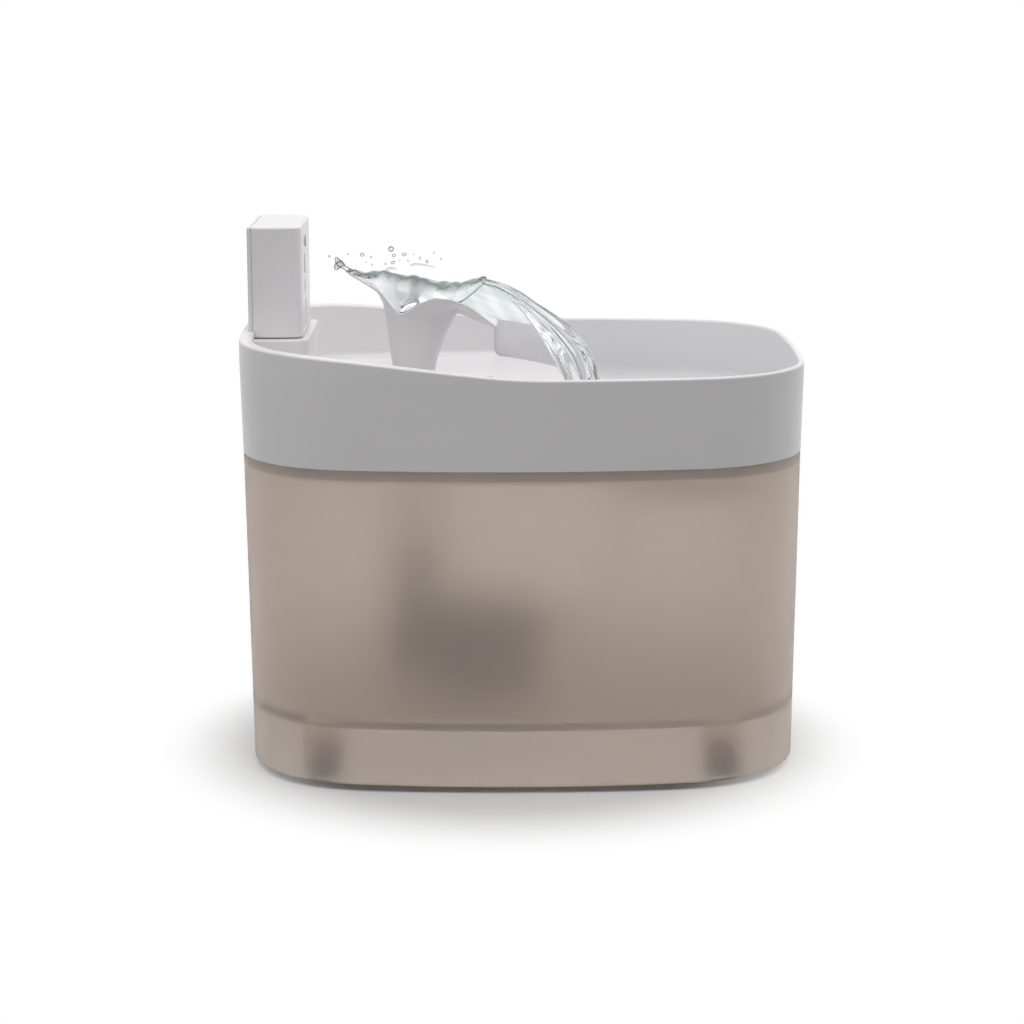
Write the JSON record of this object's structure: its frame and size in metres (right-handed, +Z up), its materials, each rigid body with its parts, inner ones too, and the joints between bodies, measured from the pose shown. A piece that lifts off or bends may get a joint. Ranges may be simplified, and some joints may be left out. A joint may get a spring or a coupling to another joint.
{
  "type": "pet water fountain",
  "caption": "Rounded oblong drinking fountain for pets: translucent reservoir, lift-off bowl tray, flower-shaped spout, filter cassette, submersible pump and plug-on control unit.",
  "frame": {"origin": "middle of the footprint, on the surface that the rubber feet stand on", "axes": "+X to the right along the long side, away from the control unit; +Y to the back; +Z up"},
  "size_m": [0.24, 0.2, 0.2272],
  "materials": {
    "tank_plastic": "frosted translucent polypropylene, smoky taupe",
    "white_plastic": "semi-gloss white ABS",
    "rubber_dark": "soft matte rubber",
    "pump_plastic": "satin black ABS",
    "filter_foam": "open-cell foam",
    "filter_granules": "non-woven pouch of carbon and resin granules",
    "clear_tube": "milky translucent tube",
    "metal_contact": "gold-plated brass",
    "steel": "zinc-plated steel",
    "laminations": "stacked silicon steel",
    "copper_wire": "enamelled copper winding",
    "board_green": "glass-fibre circuit board",
    "magnet_ferrite": "ferrite magnet",
    "ceramic": "ceramic",
    "cable_jacket": "PVC jacket",
    "grey_plastic": "satin grey ABS",
    "lens_clear": "milky light lens"
  },
  "bodies": {
    "tank": {"tank": "tank_plastic", "foot_1": "rubber_dark", "foot_2": "rubber_dark", "foot_3": "rubber_dark", "foot_4": "rubber_dark"},
    "tray": {"tray": "white_plastic", "riser_tube": "clear_tube", "dock_socket": "grey_plastic", "dock_contacts": "metal_contact", "cable_grommet": "rubber_dark", "pump_cable": "cable_jacket", "cable_gland": "rubber_dark", "pump_housing": "pump_plastic", "pump_back_cap": "pump_plastic", "stator_core": "laminations", "stator_coils": "copper_wire", "driver_board": "board_green", "rotor_shaft": "ceramic", "rear_bush": "rubber_dark", "front_bush": "rubber_dark", "pump_cover": "pump_plastic", "pump_o_ring": "rubber_dark", "intake_strainer": "pump_plastic", "intake_foam": "filter_foam", "suction_cups": "rubber_dark"},
    "spout": {"spout": "white_plastic"},
    "filter_cassette": {"filter_basket": "grey_plastic", "filter_granule_pouch": "filter_granules", "filter_sponge": "filter_foam", "drain_grid": "white_plastic"},
    "control_unit": {"control_shell": "white_plastic", "control_side_cover": "white_plastic", "control_strip": "white_plastic", "status_lens": "lens_clear", "circuit_board": "board_green", "tact_switches": "pump_plastic", "status_led": "lens_clear", "board_screws": "steel", "power_inlet": "pump_plastic"},
    "power_button": {"power_button": "grey_plastic"},
    "mode_button": {"mode_button": "white_plastic"},
    "impeller": {"impeller": "grey_plastic", "rotor_magnet": "magnet_ferrite"}
  },
  "joints": [
    {"name": "tray_lift", "type": "slide", "parent": "tank", "child": "tray", "axis": [0, 0, 1], "range_m": [0, 0.12]},
    {"name": "spout_lift", "type": "slide", "parent": "tray", "child": "spout", "axis": [0, 0, 1], "range_m": [0, 0.03]},
    {"name": "filter_lift", "type": "slide", "parent": "tray", "child": "filter_cassette", "axis": [0, 0, 1], "range_m": [0, 0.04]},
    {"name": "control_unit_lift", "type": "slide", "parent": "tray", "child": "control_unit", "axis": [0, 0, 1], "range_m": [0, 0.012]},
    {"name": "power_button_press", "type": "slide", "parent": "control_unit", "child": "power_button", "axis": [-1, 0, 0], "range_m": [0, 0.0008], "stiffness_N_per_m": 2000},
    {"name": "mode_button_press", "type": "slide", "parent": "control_unit", "child": "mode_button", "axis": [-1, 0, 0], "range_m": [0, 0.0008], "stiffness_N_per_m": 2000},
    {"name": "impeller_spin", "type": "hinge", "parent": "tray", "child": "impeller", "pos_m": [-0.045, -0.02, 0.048], "axis": [1, 0, 0], "continuous": true}
  ]
}
